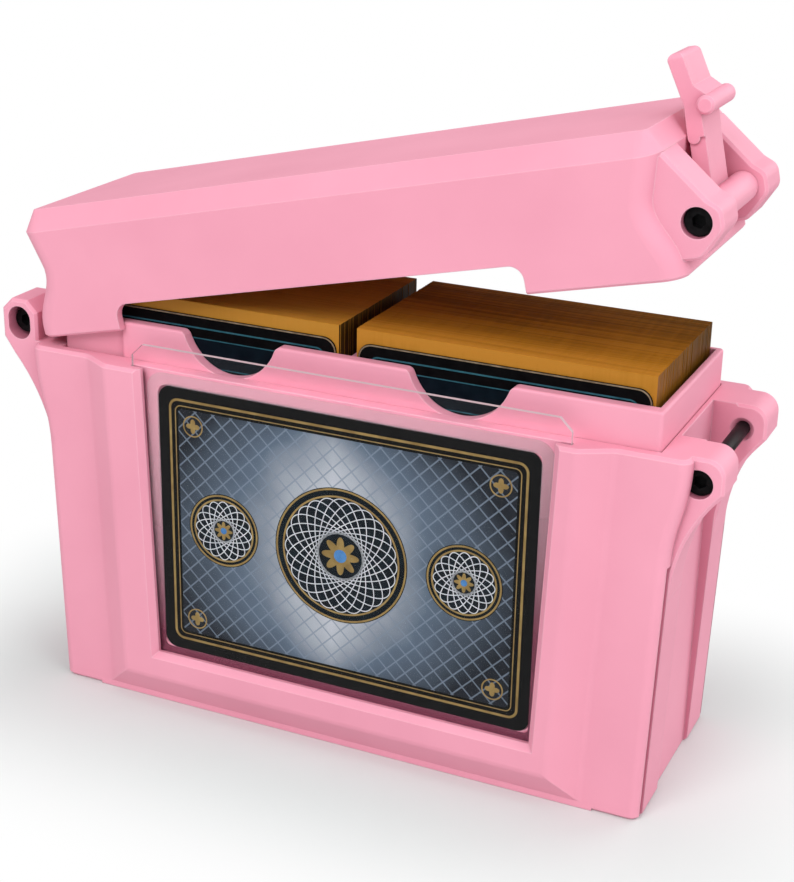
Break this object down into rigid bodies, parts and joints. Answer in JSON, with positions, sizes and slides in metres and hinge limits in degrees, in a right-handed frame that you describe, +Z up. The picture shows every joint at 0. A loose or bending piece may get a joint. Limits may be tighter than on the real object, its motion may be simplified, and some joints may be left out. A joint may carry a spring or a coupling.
{
  "type": "card storage case",
  "caption": "Hard card case shaped like a small cooler, with a hinged lid, a flip latch and a clear window sheet over a display card, holding decks of sleeved cards.",
  "frame": {"origin": "middle of the underside of the shell, where it stands", "axes": "+X along the case from the hinge to the latch, +Y from the window side to the back, +Z up"},
  "size_m": [0.1665, 0.0537, 0.1543],
  "materials": {
    "shell_plastic": "satin",
    "tray_plastic": "satin",
    "lid_plastic": "satin",
    "latch_plastic": "satin",
    "clear_sheet": "clear, polished",
    "display_print": "semi-gloss print",
    "left_sleeves": "satin sleeve edges",
    "right_sleeves": "satin sleeve edges",
    "card_print": "semi-gloss print",
    "black_steel": "black oxide"
  },
  "bodies": {
    "case": {"case_body": "shell_plastic", "deck_tray": "tray_plastic", "display_card": "display_print", "keeper_screw": "black_steel", "hinge_screws": "black_steel"},
    "lid": {"lid_shell": "lid_plastic", "latch_pivot_screw": "black_steel"},
    "latch": {"latch_lever": "latch_plastic"},
    "sheet": {"window_sheet": "clear_sheet"},
    "left_deck": {"deck_left": "left_sleeves", "front_card_left": "card_print"},
    "right_deck": {"deck_right": "right_sleeves", "front_card_right": "card_print"}
  },
  "joints": [
    {"name": "lid_hinge", "type": "hinge", "parent": "case", "child": "lid", "pos_m": [-0.0803, 0, 0.085], "axis": [0, -1, 0], "range_deg": [-13, 97]},
    {"name": "latch_pivot", "type": "hinge", "parent": "lid", "child": "latch", "pos_m": [0.0719, 0, 0.12681], "axis": [0, 1, 0], "range_deg": [0, 180]},
    {"name": "sheet_slide", "type": "slide", "parent": "case", "child": "sheet", "axis": [0, 0, 1], "range_m": [0, 0.075]},
    {"name": "left_deck_lift", "type": "slide", "parent": "case", "child": "left_deck", "axis": [0, 0, 1], "range_m": [0, 0.008]},
    {"name": "right_deck_lift", "type": "slide", "parent": "case", "child": "right_deck", "axis": [0, 0, 1], "range_m": [0, 0.008]}
  ]
}
